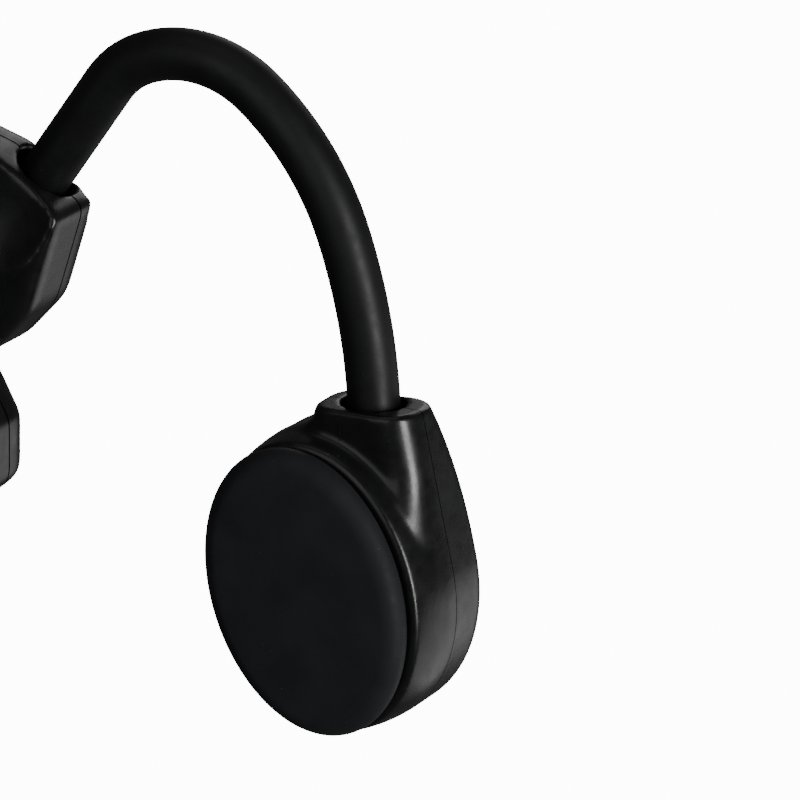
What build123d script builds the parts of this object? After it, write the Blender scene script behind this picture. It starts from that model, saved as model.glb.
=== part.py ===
from build123d import *
import os
from math import acos, atan2, cos, degrees, hypot, radians, sin

# Open-ear bone conduction headset, standing on its two earphones and the back of its neckband.
#
# Each side is drawn once, in the frame of the wearer's left side: x points outward, y rearward and
# z up, with the origin at the centre of the oval ear pad, on the face that the pad sits against.
# The side is then placed in the headset's frame (wearer faces -Y, left is +X) and mirrored.

os.makedirs("parts", exist_ok=True)

# ---------------------------------------------------------------- driving dimensions, millimetres
toe_in = 6.0                     # degrees that each side turns inward at the front
pad_half_span = 58.0             # from the middle of the head to each pad's seat

pad_long = 12.7                  # half axes of the oval pad
pad_short = 9.6
pad_lean = 16.5                  # degrees, top of the oval leans rearward
pad_thickness = 2.5
pad_gap = 0.35                   # shadow gap between pad rim and casing
pad_window = 2.4                 # how far the window in the casing is inside the pad's outline

casing_margin = 0.6              # casing outline outside the pad's
casing_outer_x = 11.5
casing_part_x = 5.3              # plane where inner and outer shells meet
casing_wall = 1.3
casing_round = 2.4
neck_face_x = 2.0                # inner face of the neck
neck_outer_x = 9.3
neck_top_z = 15.2
neck_front_y = -7.2
neck_rear_y = 1.8
casing_hollow_top = 9.0          # the neck is solid above this, apart from
boss_hollow_x = 2.95             # the shallow oval hollow that holds the transducer's frame

tube_radius = 2.25               # ear hook
tube_bore = 1.55
recess_radius = 2.75             # hole that the hook's end sits in
hook_x = 5.7                     # the hook lies in one plane
hook_start = (-2.45, 14.65)
hook_heading = 2.4               # degrees from vertical, leaning rearward
hook_arcs = [(50.3, 17.3), (25.4, 31.3), (10.9, 62.1), (7.7, 31.4)]   # radius, degrees
hook_sunk = 3.5                  # straight length below hook_start, in the neck's recess
hook_tail = 14.2                 # straight length down into the collar's recess
collar_depth = 4.0

band_radius = 2.0                # neckband
band_bore = 1.4
band_recess_radius = 2.45
band_pitch = 19.90               # degrees that the neckband falls toward its rear
band_side_radius = 44.0          # first arc of the neckband, round the side of the neck
band_side_heading = 60.0         # degrees inward where that arc ends
band_exit = (47.4, 8.7)          # where the neckband leaves the housing, in the side's y and z
band_exit_x = 4.5
band_sunk = 4.0

wire_radius = 0.6                # memory wire, and the leads beside it
wire_offset = 0.75
lead_radius = 0.33
lead_place = (-0.45, 0.5)
ferrule_length = 4.0
ferrule_play = 0.03

housing_inner_x = -0.3
housing_outer_x = 9.4
housing_part_x = 5.5
housing_wall = 1.2
housing_round = 1.5
post_radius = 1.6
screw_places = [(43.5, 3.4), (42.0, 30.5), (33.2, 19.2)]

def side_plane(x):
    """Plane across the side at depth x, with rearward as its own x and up as its own y."""
    return Plane.YZ.offset(x)


# ---------------------------------------------------------------- places and export
left_place = Location((pad_half_span, 0, 0), (0, 0, -toe_in))
pieces = {}


def keep(name, part):
    """One finished piece, already in the headset's frame."""
    pieces[name] = part


def keep_pair(name, part):
    """A piece of the left side, kept on the left and mirrored to the right."""
    left = part.moved(left_place)
    keep("left_" + name, left)
    keep("right_" + name, left.mirror(Plane.YZ))


def keep_left(name, part):
    keep(name, part.moved(left_place))


def keep_right(name, part):
    keep(name, part.moved(left_place).mirror(Plane.YZ))


# ---------------------------------------------------------------- earphone casing
lean = radians(pad_lean)
oval_turn = 90 - pad_lean


def oval(grow):
    """The pad's oval, grown outward by grow, in the open sketch."""
    Ellipse(pad_long + grow, pad_short + grow, rotation=oval_turn)


def oval_tangent(y, z, grow):
    """Where the line from (y, z) touches the front of the grown oval."""
    a, b = pad_long + grow, pad_short + grow
    along, across = y * sin(lean) + z * cos(lean), y * cos(lean) - z * sin(lean)
    u, v = along / a, across / b
    turn = atan2(v, u) - acos(1 / hypot(u, v))
    p, q = a * cos(turn), b * sin(turn)
    return (p * sin(lean) + q * cos(lean), p * cos(lean) - q * sin(lean))


def casing_form(inset, top_z):
    """Outside of the earphone casing, or its hollow when inset is the wall's thickness."""
    grow = casing_margin - inset
    front = (neck_front_y + inset, neck_top_z)
    touch = oval_tangent(*front, grow)
    with BuildPart() as form:
        with BuildSketch(side_plane(inset)):
            oval(grow)
        extrude(amount=casing_outer_x - 2 * inset)
        # the neck stands behind the pad's boss and runs down into the front edge
        with BuildSketch(side_plane(neck_face_x + inset)):
            Polygon(front, touch, (0, 0), (5.2, 8.0), (neck_rear_y + 1.6, 12.0),
                    (neck_rear_y - inset, neck_top_z), align=None)
        extrude(amount=casing_outer_x - neck_face_x - 2 * inset)
        # the outer face bulges in one arc from the neck down to the oval
        with BuildSketch(Plane.XZ):
            with BuildLine():
                bottom = -20.0
                outer = casing_outer_x - inset
                arc = TangentArc((outer, -1.0), (neck_outer_x - inset, neck_top_z), tangent=(0, 1))
                Polyline(arc @ 1, (-5, neck_top_z), (-5, bottom), (outer, bottom), (outer, -1.0))
            make_face()
        extrude(amount=30, both=True, mode=Mode.INTERSECT)
        if top_z < neck_top_z:
            split(bisect_by=Plane.XY.offset(top_z), keep=Keep.BOTTOM)
            with BuildSketch(side_plane(inset)):
                oval(grow)
            extrude(amount=boss_hollow_x - inset)
        if inset == 0:
            fillet([e for e in form.edges() if on_outer_rim(e)], casing_round)
    return form.part


def on_outer_rim(edge):
    """True on the edges round the casing's outer face, and not on the joints across it."""
    ends = [edge.position_at(t) for t in (0, 0.25, 0.5, 0.75, 1)]
    heights = [p.Z for p in ends]
    return min(p.X for p in ends) > 9 and max(heights) - min(heights) > 0.8


def axis_plane(x, start, heading):
    """Plane across a tube that leaves the side's (y, z) point at a heading from vertical."""
    turn = radians(heading)
    return Plane(origin=(x, *start), x_dir=(1, 0, 0), z_dir=(0, sin(turn), cos(turn)))


def step(point, heading, length):
    turn = radians(heading)
    return (point[0] + length * sin(turn), point[1] + length * cos(turn))


# ---------------------------------------------------------------- ear hook's path
hook_low = step(hook_start, hook_heading, -hook_sunk)
neck_axis = axis_plane(hook_x, hook_low, hook_heading)


def hook_line(extra=0.0):
    """The hook's middle line, longer at both ends by extra."""
    with BuildLine(side_plane(hook_x)) as line:
        part = Line(step(hook_low, hook_heading, -extra), hook_start)
        for radius, turn in hook_arcs:
            part = JernArc(start=part @ 1, tangent=part % 1, radius=radius, arc_size=-turn)
        end = part @ 1
        Line(end, end + (part % 1) * (hook_tail + extra))
    return line.wires()[0]


hook_path = hook_line()
tail_point, tail_way = hook_path @ 1, hook_path % 1
collar_centre = tail_point - tail_way * collar_depth
collar_axis = Plane(origin=tail_point, x_dir=(1, 0, 0), z_dir=-tail_way)


def swept(path, *, outer, holes=(), places=((0, 0),)):
    """A round section, or several, swept along a path whose first plane has outward as its x."""
    start = Plane(origin=path @ 0, x_dir=section_x(path), z_dir=path % 0)
    with BuildPart() as tube:
        with BuildLine():
            add(path)
        with BuildSketch(start):
            with Locations(*places):
                Circle(outer)
            for hole in holes:
                Circle(hole, mode=Mode.SUBTRACT)
        sweep()
    return tube.part


def section_x(path):
    """Outward on the hook; on the neckband, away from the band's own plane."""
    across = (path % 0).cross(Vector(1, 0, 0))
    return Vector(1, 0, 0) if across.length > 0.99 else across.normalized()


lead_places = [lead_place, (lead_place[0], -lead_place[1])]


def ferrule(plane, radius):
    """End plug of a tube: the memory wire ends in it and the leads pass through."""
    with BuildPart() as plug:
        with BuildSketch(plane):
            Circle(radius)
            with Locations((wire_offset, 0)):
                Circle(wire_radius + ferrule_play, mode=Mode.SUBTRACT)
            with Locations(*lead_places):
                Circle(lead_radius + ferrule_play, mode=Mode.SUBTRACT)
        extrude(amount=-ferrule_length)
        chamfer(plug.edges().filter_by(GeomType.CIRCLE).filter_by(lambda e: e.radius > radius - 0.01), 0.2)
    return plug.part


# ---------------------------------------------------------------- earphone: shells
neck_ferrule_radius = 2.2
with BuildPart() as casing:
    add(casing_form(0, neck_top_z))
    add(casing_form(casing_wall, casing_hollow_top), mode=Mode.SUBTRACT)
    with BuildSketch(side_plane(-1)):
        oval(-pad_window)
    extrude(amount=casing_wall + 2, mode=Mode.SUBTRACT)
    with BuildSketch(neck_axis):
        Circle(recess_radius)
    extrude(amount=hook_sunk + 3, mode=Mode.SUBTRACT)
    with BuildSketch(neck_axis):
        Circle(neck_ferrule_radius + ferrule_play)
    extrude(amount=-ferrule_length, mode=Mode.SUBTRACT)

mic_place = (-5.4, -7.4)
button_place = (0.2, -3.0)
button_radius = 3.9
button_gap = 0.25

with BuildPart() as pod_inner_shell:
    add(casing.part)
    split(bisect_by=side_plane(casing_part_x), keep=Keep.BOTTOM)
keep_pair("pod_inner_shell", pod_inner_shell.part)

with BuildPart() as pod_outer_shell:
    add(casing.part)
    split(bisect_by=side_plane(casing_part_x), keep=Keep.TOP)
    with BuildSketch(side_plane(casing_outer_x - 2)):
        with Locations(mic_place):
            Circle(0.5)
    extrude(amount=4, mode=Mode.SUBTRACT)
keep_right("right_pod_outer_shell", pod_outer_shell.part)

with BuildPart() as pod_button_shell:
    add(pod_outer_shell.part)
    with BuildSketch(side_plane(casing_outer_x - casing_wall - 1)):
        with Locations(button_place):
            Circle(button_radius + button_gap)
    extrude(amount=4, mode=Mode.SUBTRACT)
keep_left("left_pod_outer_shell", pod_button_shell.part)

# ---------------------------------------------------------------- earphone: pad and transducer
frame_gap = 0.1
drive_x = 1.9
flexure_x = 2.6
flexure_thickness = 0.25
coil_x = flexure_x + flexure_thickness
yoke_mouth_x = 3.9
yoke_floor_x = 7.6
yoke_back_x = 8.4

with BuildPart() as ear_pad:
    with BuildSketch(side_plane(-pad_gap)):
        oval(0)
    extrude(amount=-(pad_thickness - pad_gap))
    fillet(ear_pad.faces().sort_by(Axis.X)[0].edges(), 1.6)
    with BuildSketch(side_plane(-pad_gap)):
        oval(-pad_window - frame_gap)
    extrude(amount=pad_gap + drive_x)
keep_pair("ear_pad", ear_pad.part)

with BuildPart() as drive_plate:
    with BuildSketch(side_plane(drive_x)):
        oval(-4)
    extrude(amount=flexure_x - drive_x)
keep_pair("drive_plate", drive_plate.part)

frame_long, frame_short = pad_long - 1.65, pad_short - 1.65
screw_turns = [60, 120, 240, 300]
screw_spots = [(frame_long * cos(radians(t)) * sin(lean) + frame_short * sin(radians(t)) * cos(lean),
                frame_long * cos(radians(t)) * cos(lean) - frame_short * sin(radians(t)) * sin(lean))
               for t in screw_turns]
small_screw_radius = 0.4

with BuildPart() as transducer_frame:
    with BuildSketch(side_plane(casing_wall)):
        oval(-0.85)
        Ellipse(pad_long - pad_window, pad_short - pad_window, rotation=oval_turn, mode=Mode.SUBTRACT)
        with Locations(*screw_spots):
            Circle(small_screw_radius + ferrule_play, mode=Mode.SUBTRACT)
    extrude(amount=flexure_x - casing_wall)
keep_pair("transducer_frame", transducer_frame.part)

with BuildPart() as flexure_plate:
    with BuildSketch(side_plane(flexure_x)):
        oval(-0.95)
        with Locations(*screw_spots):
            Circle(small_screw_radius + 0.1, mode=Mode.SUBTRACT)
        for turn in (0, 180):
            with BuildLine():
                outer = EllipticalCenterArc((0, 0), pad_long - 3.0, pad_short - 3.0, turn - 60,
                                            rotation=oval_turn, arc_size=120)
                inner = EllipticalCenterArc((0, 0), pad_long - 4.0, pad_short - 4.0, turn - 60,
                                            rotation=oval_turn, arc_size=120)
                Line(outer @ 0, inner @ 0)
                Line(outer @ 1, inner @ 1)
            make_face(mode=Mode.SUBTRACT)
    extrude(amount=flexure_thickness)
keep_pair("flexure_plate", flexure_plate.part)

with BuildPart() as transducer_screws:
    with BuildSketch(side_plane(casing_wall + 0.3)):
        with Locations(*screw_spots):
            Circle(small_screw_radius)
    extrude(amount=coil_x - casing_wall - 0.3)
    with BuildSketch(side_plane(coil_x)):
        with Locations(*screw_spots):
            Circle(0.75)
    extrude(amount=0.45)
keep_pair("transducer_screws", transducer_screws.part)

with BuildPart() as voice_coil:
    with BuildSketch(side_plane(coil_x)):
        Circle(4.7)
        Circle(4.0, mode=Mode.SUBTRACT)
    extrude(amount=3.1)
keep_pair("voice_coil", voice_coil.part)

with BuildPart() as pole_piece:
    with BuildSketch(side_plane(yoke_mouth_x)):
        Circle(3.6)
    extrude(amount=0.8)
keep_pair("pole_piece", pole_piece.part)

with BuildPart() as magnet:
    with BuildSketch(side_plane(yoke_mouth_x + 0.8)):
        Circle(3.5)
    extrude(amount=yoke_floor_x - yoke_mouth_x - 0.8)
keep_pair("magnet", magnet.part)

with BuildPart() as yoke:
    with BuildSketch(side_plane(yoke_mouth_x)):
        Circle(6.1)
    extrude(amount=yoke_back_x - yoke_mouth_x)
    with BuildSketch(side_plane(yoke_mouth_x)):
        Circle(5.1)
    extrude(amount=yoke_floor_x - yoke_mouth_x, mode=Mode.SUBTRACT)
keep_pair("yoke", yoke.part)

with BuildPart() as yoke_damper:
    with BuildSketch(side_plane(yoke_back_x)):
        Circle(4.2)
    extrude(amount=0.5)
keep_pair("yoke_damper", yoke_damper.part)

with BuildPart() as microphone:
    with BuildSketch(side_plane(8.8)):
        with Locations(mic_place):
            Circle(1.4)
    extrude(amount=1.35)
keep_pair("microphone", microphone.part)

keep_pair("neck_ferrule", ferrule(neck_axis, neck_ferrule_radius))

# ---------------------------------------------------------------- call button, on the left earphone
button_travel = 0.35
with BuildPart() as call_button:
    with BuildSketch(side_plane(9.8)):
        with Locations(button_place):
            Circle(button_radius + 0.7)
    extrude(amount=0.2)
    with BuildSketch(side_plane(10.0)):
        with Locations(button_place):
            Circle(button_radius)
    extrude(amount=1.8)
    fillet(call_button.faces().sort_by(Axis.X)[-1].edges(), 0.5)
keep_left("call_button", call_button.part)

with BuildPart() as call_switch:
    with BuildSketch(side_plane(yoke_back_x + 0.5)):
        with Locations(button_place):
            RectangleRounded(6, 5, 0.8)
    extrude(amount=0.25)
    with BuildSketch(side_plane(yoke_back_x + 0.75)):
        with Locations(button_place):
            Circle(1.6)
    extrude(amount=0.27)
keep_left("call_switch", call_switch.part)

# ---------------------------------------------------------------- ear hook
keep_pair("hook_sleeve", swept(hook_path, outer=tube_radius, holes=[tube_bore]))
keep_pair("hook_wire", swept(hook_line(ferrule_length - 0.4), outer=wire_radius, places=[(wire_offset, 0)]))
keep_pair("hook_leads", swept(hook_line(ferrule_length + 0.6), outer=lead_radius, places=lead_places))

# ---------------------------------------------------------------- behind-ear housing: outline
outline_points = [
    ((25.0, 28.7), 1.6),    # collar, front corner
    ((27.6, 20.2), 3.5),
    ((31.4, 16.2), 3.5),
    ((35.8, 14.3), 1.8),    # notch behind the ear's root
    ((33.6, 12.0), 1.6),
    ((31.9, 8.4), 1.6),
    ((32.0, 3.0), 1.6),
    ((34.6, 1.0), 1.6),
    ((45.0, 0.6), 1.8),
    ((46.2, 4.2), 1.6),     # facet that the neckband leaves from
    ((48.6, 13.2), 6.0),
    ((48.4, 20.0), 8.0),
    ((45.6, 30.0), 6.0),
    ((39.0, 35.8), 4.0),
    ((31.4, 33.4), 1.8),    # collar, rear corner
]


def housing_outline():
    """Kidney-shaped side view of the housing, with each corner rounded by its own radius."""
    with BuildLine() as line:
        FilletPolyline(*[point for point, _ in outline_points], radius=[r for _, r in outline_points], close=True)
    make_face(line.edges())


band_turn = radians(band_pitch)
band_way = Vector(0, cos(band_turn), -sin(band_turn))
band_mouth = Vector(band_exit_x, *band_exit)
band_axis = Plane(origin=band_mouth - band_way * band_sunk, x_dir=(1, 0, 0), z_dir=band_way)
boss_radius = 3.6


def sockets(clear):
    """The solid bosses round both tube ends, as cylinders grown by clear."""
    with BuildPart() as bosses:
        for plane in (collar_axis, band_axis):
            with BuildSketch(plane.offset(-ferrule_length - clear)):
                Circle(boss_radius + clear)
            extrude(amount=ferrule_length + collar_depth + clear)
        with BuildSketch(side_plane(housing_inner_x)):
            with Locations(*screw_places):
                Circle(post_radius + clear)
        extrude(amount=housing_outer_x - housing_inner_x)
    return bosses.part


with BuildPart() as housing_hollow:
    with BuildSketch(side_plane(housing_inner_x + housing_wall)):
        housing_outline()
        offset(amount=-housing_wall)
    extrude(amount=housing_outer_x - housing_inner_x - 2 * housing_wall)
    add(sockets(0), mode=Mode.SUBTRACT)

band_ferrule_radius = 1.9
with BuildPart() as housing:
    with BuildSketch(side_plane(housing_inner_x)):
        housing_outline()
    extrude(amount=housing_outer_x - housing_inner_x)
    fillet(housing.faces().sort_by(Axis.X)[0].edges(), housing_round)
    fillet(housing.faces().sort_by(Axis.X)[-1].edges(), housing_round)
    add(housing_hollow.part, mode=Mode.SUBTRACT)
    for plane, hole, plug in ((collar_axis, recess_radius, neck_ferrule_radius),
                              (band_axis, band_recess_radius, band_ferrule_radius)):
        with BuildSketch(plane):
            Circle(hole)
        extrude(amount=collar_depth + 3, mode=Mode.SUBTRACT)
        with BuildSketch(plane):
            Circle(plug + ferrule_play)
        extrude(amount=-ferrule_length, mode=Mode.SUBTRACT)
        with BuildSketch(plane.offset(-ferrule_length + 0.5)):
            Circle(plug - 0.6)
        extrude(amount=-2, mode=Mode.SUBTRACT)

screw_head_radius, screw_head_height = 1.25, 0.9
screw_shank, screw_length = 0.6, 6.4
with BuildPart() as housing_inner_shell:
    add(housing.part)
    split(bisect_by=side_plane(housing_part_x), keep=Keep.BOTTOM)
    with Locations(Plane(origin=(housing_inner_x, 0, 0), x_dir=(0, 0, 1), z_dir=(-1, 0, 0))):
        with Locations(*[(z, y) for y, z in screw_places]):
            CounterBoreHole(radius=screw_shank + 0.12, counter_bore_radius=screw_head_radius + 0.12,
                            counter_bore_depth=screw_head_height + 0.2, depth=8)
keep_left("left_housing_inner_shell", housing_inner_shell.part)

with BuildPart() as housing_outer_shell:
    add(housing.part)
    split(bisect_by=side_plane(housing_part_x), keep=Keep.TOP)
    with BuildSketch(side_plane(housing_part_x)):
        with Locations(*screw_places):
            Circle(screw_shank + 0.02)
    extrude(amount=2.4, mode=Mode.SUBTRACT)
keep_left("left_housing_outer_shell", housing_outer_shell.part)

with BuildPart() as housing_screws:
    with BuildSketch(side_plane(housing_inner_x + 0.2)):
        with Locations(*screw_places):
            Circle(screw_head_radius)
            RegularPolygon(0.5, 6, mode=Mode.SUBTRACT)
    extrude(amount=screw_head_height - 0.3)
    with BuildSketch(side_plane(housing_inner_x + screw_head_height - 0.1)):
        with Locations(*screw_places):
            Circle(screw_head_radius)
    extrude(amount=0.3)
    with BuildSketch(side_plane(housing_inner_x + screw_head_height + 0.2)):
        with Locations(*screw_places):
            Circle(screw_shank)
    extrude(amount=screw_length)
keep_pair("housing_screws", housing_screws.part)

keep_pair("collar_ferrule", ferrule(collar_axis, neck_ferrule_radius))
keep_pair("band_ferrule", ferrule(band_axis, band_ferrule_radius))

# ---------------------------------------------------------------- left housing: battery
battery_corner, battery_size = (36.8, 17.6), (7.2, 10.2)
battery_middle = tuple(c + s / 2 for c, s in zip(battery_corner, battery_size))
with BuildPart() as battery:
    with BuildSketch(side_plane(1.5)):
        with Locations(battery_middle):
            RectangleRounded(*battery_size, 0.8)
    extrude(amount=5.2)
    fillet(battery.edges().filter_by(Axis.Y), 0.5)
keep_left("battery", battery.part)

# ---------------------------------------------------------------- right housing: board, port, controls
board_x, board_thickness = 5.9, 0.8
board_middle, board_size = (40.2, 22.3), (8.0, 10.4)
key_places = [(38.8, 25.4), (38.8, 19.2)]
light_place = (43.0, 22.3)
port_middle = (36.8, 7.0)
port_long, port_wide, port_wall = 8.94, 3.26, 0.3
cover_long, cover_wide, cover_thick = 11.2, 5.2, 0.8


def slot(long, wide):
    SlotOverall(long, wide, rotation=90)


with BuildPart() as circuit_board:
    with BuildSketch(side_plane(board_x)):
        with Locations(board_middle):
            RectangleRounded(*board_size, 0.6)
    extrude(amount=board_thickness)
keep_right("circuit_board", circuit_board.part)

with BuildPart() as radio_module:
    with BuildSketch(side_plane(board_x)):
        with Locations(board_middle):
            RectangleRounded(6.4, 8.4, 0.3)
    extrude(amount=-1.6)
    chamfer(radio_module.faces().sort_by(Axis.X)[0].edges(), 0.2)
keep_right("radio_module", radio_module.part)

key_switch_top = board_x + board_thickness + 0.5
with BuildPart() as volume_switches:
    with BuildSketch(side_plane(board_x + board_thickness)):
        with Locations(*key_places):
            RectangleRounded(3.0, 3.0, 0.3)
    extrude(amount=0.5)
    with BuildSketch(side_plane(key_switch_top)):
        with Locations(*key_places):
            Circle(0.8)
    extrude(amount=0.25)
keep_right("volume_switches", volume_switches.part)

key_radius, key_gap, key_travel = 2.0, 0.22, 0.3
key_flange_x = key_switch_top + 0.25 + key_travel + 0.02
for name, place in zip(("volume_up_button", "volume_down_button"), key_places):
    with BuildPart() as key:
        with BuildSketch(side_plane(key_flange_x)):
            with Locations(place):
                Circle(key_radius + 0.6)
        extrude(amount=0.15)
        with BuildSketch(side_plane(key_flange_x)):
            with Locations(place):
                Circle(key_radius)
        extrude(amount=housing_outer_x + 0.35 - key_flange_x)
        fillet(key.faces().sort_by(Axis.X)[-1].edges(), 0.4)
    keep_right(name, key.part)

light_radius = 0.8
with BuildPart() as status_light:
    with BuildSketch(side_plane(board_x + board_thickness)):
        with Locations(light_place):
            Circle(light_radius)
    extrude(amount=housing_outer_x + 0.02 - board_x - board_thickness)
keep_right("status_light", status_light.part)

with BuildPart() as charging_port:
    with BuildSketch(side_plane(housing_inner_x + 1.3)):
        with Locations(port_middle):
            slot(port_long, port_wide)
    extrude(amount=6.0)
    with BuildSketch(side_plane(housing_inner_x + 1.3)):
        with Locations(port_middle):
            slot(port_long - 2 * port_wall, port_wide - 2 * port_wall)
            Rectangle(0.7, 6.2, mode=Mode.SUBTRACT)
    extrude(amount=5.4, mode=Mode.SUBTRACT)
keep_right("charging_port", charging_port.part)

with BuildPart() as port_board:
    with BuildSketch(side_plane(housing_inner_x + 7.3)):
        with Locations(port_middle):
            RectangleRounded(3.6, 9.6, 0.3)
    extrude(amount=0.6)
keep_right("port_board", port_board.part)

plug_gap = 0.2
cover_x = housing_inner_x
with BuildPart() as port_cover:
    with BuildSketch(side_plane(cover_x)):
        with Locations(port_middle):
            slot(cover_long, cover_wide)
    extrude(amount=cover_thick)
    with BuildSketch(side_plane(cover_x + cover_thick)):
        with Locations(port_middle):
            slot(port_long - 2 * port_wall - 2 * plug_gap, port_wide - 2 * port_wall - 2 * plug_gap)
    extrude(amount=0.35)
keep_right("port_cover", port_cover.part)

with BuildPart() as port_shell:
    add(housing_inner_shell.part)
    with BuildSketch(side_plane(cover_x - 1)):
        with Locations(port_middle):
            slot(cover_long + 2 * plug_gap, cover_wide + 2 * plug_gap)
    extrude(amount=1 + cover_thick + 0.05, mode=Mode.SUBTRACT)
    with BuildSketch(side_plane(cover_x)):
        with Locations(port_middle):
            slot(port_long + 0.3, port_wide + 0.3)
    extrude(amount=3, mode=Mode.SUBTRACT)
keep_right("right_housing_inner_shell", port_shell.part)

with BuildPart() as key_shell:
    add(housing_outer_shell.part)
    with BuildSketch(side_plane(housing_outer_x - 3)):
        with Locations(*key_places):
            Circle(key_radius + key_gap)
        with Locations(light_place):
            Circle(light_radius + 0.03)
    extrude(amount=4, mode=Mode.SUBTRACT)
keep_right("right_housing_outer_shell", key_shell.part)

# ---------------------------------------------------------------- neckband, in the headset's frame
mouth = left_place * Location(band_mouth)
start_point = mouth.position
start_way = (left_place * Location(band_mouth + band_way)).position - start_point
band_plane = Plane(origin=(0, start_point.Y, start_point.Z), x_dir=(1, 0, 0), z_dir=Vector(1, 0, 0).cross(start_way))
local_start = band_plane.to_local_coords(start_point)
local_way = band_plane.to_local_coords(start_point + start_way) - local_start
first_heading = degrees(atan2(-local_way.X, local_way.Y))
side_turn = band_side_heading - first_heading
rear_turn = 90 - band_side_heading
band_straight = 3.0
side_shift = -band_straight * local_way.X + band_side_radius * (cos(radians(first_heading)) - cos(radians(band_side_heading)))
band_rear_radius = (local_start.X - side_shift) / cos(radians(band_side_heading))


def band_line(extra=0.0):
    """The neckband's middle line, from the left recess round to the right one."""
    with BuildLine(band_plane) as line:
        buried, clear = local_start - local_way * (band_sunk + extra), local_start + local_way * band_straight
        part = Line((buried.X, buried.Y), (clear.X, clear.Y))
        for radius, turn in ((band_side_radius, side_turn), (band_rear_radius, 2 * rear_turn),
                             (band_side_radius, side_turn)):
            part = JernArc(start=part @ 1, tangent=part % 1, radius=radius, arc_size=turn)
        Line(part @ 1, part @ 1 + (part % 1) * (band_straight + band_sunk + extra))
    return line.wires()[0]


band_path = band_line()
keep("neckband_sleeve", swept(band_path, outer=band_radius, holes=[band_bore]))
keep("neckband_wire", swept(band_line(ferrule_length - 0.4), outer=wire_radius, places=[(wire_offset, 0)]))
keep("neckband_leads", swept(band_line(ferrule_length + 0.6), outer=lead_radius, places=lead_places))

# ---------------------------------------------------------------- export, with the footprint's
# middle and the lowest point of the headset brought to the origin
boxes = [part.bounding_box() for part in pieces.values()]
front = min(box.min.Y for box in boxes)
back = max(box.max.Y for box in boxes)
low = min(box.min.Z for box in boxes)
shift = Vector(0, -(front + back) / 2, -low)
for name, part in pieces.items():
    placed = part.moved(Location(shift))
    placed.label = name
    export_step(placed, f"parts/{name}.step")
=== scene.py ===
"""Looks of an open-ear bone conduction headset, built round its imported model."""

import math

import bmesh
import bpy
from mathutils import Matrix, Vector


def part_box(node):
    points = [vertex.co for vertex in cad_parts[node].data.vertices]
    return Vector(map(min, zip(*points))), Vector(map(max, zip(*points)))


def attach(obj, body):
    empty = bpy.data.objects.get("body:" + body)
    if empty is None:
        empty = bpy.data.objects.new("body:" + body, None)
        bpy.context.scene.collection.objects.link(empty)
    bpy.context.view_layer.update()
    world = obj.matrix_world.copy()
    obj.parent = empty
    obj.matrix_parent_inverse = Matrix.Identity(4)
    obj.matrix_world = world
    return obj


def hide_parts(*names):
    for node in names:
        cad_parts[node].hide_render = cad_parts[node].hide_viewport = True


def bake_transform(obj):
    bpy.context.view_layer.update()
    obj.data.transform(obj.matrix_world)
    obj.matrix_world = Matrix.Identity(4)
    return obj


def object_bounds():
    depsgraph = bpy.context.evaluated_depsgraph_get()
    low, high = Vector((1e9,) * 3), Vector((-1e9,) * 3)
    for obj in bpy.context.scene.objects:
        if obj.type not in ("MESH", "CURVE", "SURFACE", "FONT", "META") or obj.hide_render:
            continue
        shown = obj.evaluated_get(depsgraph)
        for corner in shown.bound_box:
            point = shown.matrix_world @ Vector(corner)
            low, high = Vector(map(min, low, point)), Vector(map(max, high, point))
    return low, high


MM = 0.001
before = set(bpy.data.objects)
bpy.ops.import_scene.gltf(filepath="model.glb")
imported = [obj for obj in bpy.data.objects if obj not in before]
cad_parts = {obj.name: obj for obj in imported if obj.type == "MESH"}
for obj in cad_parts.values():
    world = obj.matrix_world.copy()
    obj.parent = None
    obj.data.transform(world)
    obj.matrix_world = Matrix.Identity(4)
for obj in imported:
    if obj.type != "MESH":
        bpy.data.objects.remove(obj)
CAD_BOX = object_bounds()

# ---------------------------------------------------------------- the side's own frame
# Every piece of a side is modelled once, for the wearer's left: x outward, y rearward, z up, with the
# origin at the middle of the oval pad's seat. settle() turns it into place, or mirrors it.
TOE_IN = math.radians(-6.0)
PLATE_X = (1.9 + 2.6) / 2 * MM          # middle of the drive plate, which lies on the pad's axis


def left_matrix():
    low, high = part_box("left_drive_plate")
    turn = Matrix.Rotation(TOE_IN, 4, "Z")
    origin = (low + high) / 2 - turn @ Vector((PLATE_X, 0, 0))
    return Matrix.Translation(origin) @ turn


LEFT = left_matrix()
MIRROR = Matrix.Diagonal((-1, 1, 1, 1))
OUTWARD = (1, 0, 0)

# Lengths are in millimetres.
PAD_LONG, PAD_SHORT, PAD_LEAN = 12.7, 9.6, math.radians(16.5)
PAD_GAP, PAD_THICK, PAD_SLIDE = 0.35, 2.5, 0.65
CASE_GROW, CASE_OUT, CASE_WALL, CASE_SEAM = 0.6, 11.5, 1.3, 5.3
BULGE_TOP = 2.5
NECK_IN, NECK_OUT, NECK_TOP, NECK_FRONT, NECK_REAR = 2.0, 8.5, 15.2, -7.2, 1.8
HOOK_X, HOOK_START, HOOK_HEADING = 5.7, (-2.45, 14.65), math.radians(2.4)
HOOK_ARCS = ((50.3, 17.3), (25.4, 31.3), (10.9, 62.1), (7.7, 31.4))     # radius, degrees
HOOK_SUNK, HOOK_TAIL, COLLAR_DEPTH = 3.5, 14.2, 4.0
TUBE, TUBE_BORE = 2.25, 1.55
BAND, BAND_BORE, BAND_RECESS = 2.0, 1.4, 2.45
BAND_SUNK = 4.0
WIRE, LEAD = 0.6, 0.33                  # radii of the memory wire and of one lead
WIRE_EXTRA, LEAD_EXTRA = 3.6, 4.6       # how far they reach past the tube's ends
WIRE_ASIDE, LEAD_ASIDE, LEAD_APART = 0.75, 0.45, 0.5
TUBE_PLUG, BAND_PLUG = 2.23, 1.93       # bores that a tube's ferrule sits in


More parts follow.
